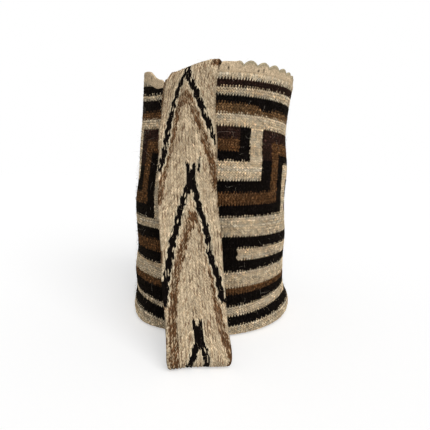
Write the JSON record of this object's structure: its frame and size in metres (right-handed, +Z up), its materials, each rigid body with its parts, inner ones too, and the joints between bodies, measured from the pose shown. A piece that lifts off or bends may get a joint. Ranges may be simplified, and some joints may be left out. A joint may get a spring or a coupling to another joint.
{
  "type": "crocheted shoulder bag",
  "caption": "Tall round crocheted wool shoulder bag with a scalloped mouth and a wide woven strap laid forward over the mouth and down the front.",
  "frame": {"origin": "centre of the flat underside of the round base, where the bag stands on the floor", "axes": "+Z is up, from the base to the mouth; -Y is the front, where the strap hangs down; +X is the bag's left as it faces forward"},
  "size_m": [0.1999, 0.2679, 0.2953],
  "materials": {
    "body_wool": "matte crochet",
    "edging_wool": "matte crochet",
    "strap_wool": "matte weave",
    "seam_yarn": "matte yarn"
  },
  "bodies": {
    "root": {"bag_body": "body_wool", "rim_edging": "edging_wool", "strap": "strap_wool", "strap_seam_front": "seam_yarn", "strap_seam_back": "seam_yarn"}
  },
  "joints": []
}
